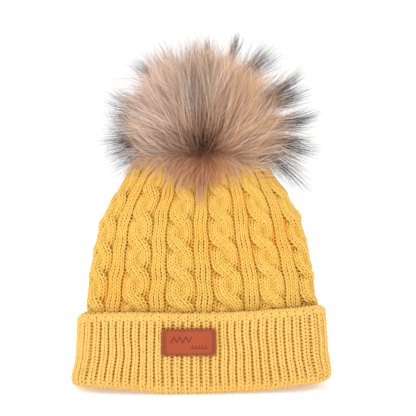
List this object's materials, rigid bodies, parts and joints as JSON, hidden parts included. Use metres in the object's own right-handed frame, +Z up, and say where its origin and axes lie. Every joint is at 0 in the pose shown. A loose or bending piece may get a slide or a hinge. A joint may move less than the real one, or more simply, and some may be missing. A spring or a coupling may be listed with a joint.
{
  "type": "pom pom beanie",
  "caption": "Cable-knit beanie with a turned-up ribbed cuff, a small leather label and a detachable fur pompom on a snap.",
  "frame": {"origin": "centre of the bounding box at the plane the hat stands on, the bottom of the cuff", "axes": "+Z up through the crown to the pompom, -Y is the front with the label, X runs from side to side"},
  "size_m": [0.2108, 0.16, 0.288],
  "materials": {
    "crown_yarn": "matte knitted yarn",
    "cuff_yarn": "matte knitted yarn",
    "label_leather": "smooth, debossed",
    "label_thread": "waxed thread",
    "tag_cloth": "woven satin",
    "felt": "pressed felt",
    "snap_metal": "nickel plated",
    "spring_steel": "bright wire",
    "pelt": "suede",
    "stuffing": "loose fibre",
    "dark_thread": "thread",
    "fur": "long soft hair"
  },
  "bodies": {
    "cuff": {"cuff_outer": "cuff_yarn", "label_patch": "label_leather", "label_stitches": "label_thread"},
    "crown": {"crown_knit": "crown_yarn", "rib_band_inner": "crown_yarn", "back_seam_yarn": "crown_yarn", "care_label": "tag_cloth", "crown_gather_thread": "crown_yarn", "felt_washer": "felt", "snap_post_cap": "snap_metal", "snap_stud": "snap_metal"},
    "snap_spring": {"snap_ring_spring": "spring_steel"},
    "snap_base": {"snap_socket": "snap_metal", "snap_socket_cap": "snap_metal", "pompom_base_disc": "felt"},
    "pompom": {"pompom_pelt": "pelt", "pompom_stuffing": "stuffing", "pompom_draw_thread": "dark_thread", "pompom_fur": "fur"}
  },
  "joints": [
    {"name": "cuff_unroll", "type": "slide", "parent": "cuff", "child": "crown", "axis": [0, 0, 1], "range_m": [0, 0.05]},
    {"name": "pompom_pull_off", "type": "slide", "parent": "crown", "child": "snap_spring", "axis": [0, 0, 1], "range_m": [0, 0.12]},
    {"name": "pompom_swivel", "type": "hinge", "parent": "snap_spring", "child": "snap_base", "pos_m": [0, 0, 0.2011], "axis": [0, 0, 1], "continuous": true},
    {"name": "pompom_lean", "type": "hinge", "parent": "snap_base", "child": "pompom", "pos_m": [0, 0, 0.205], "axis": [0, 1, 0], "range_deg": [-9, 9], "stiffness_Nm_per_rad": 0.25}
  ]
}
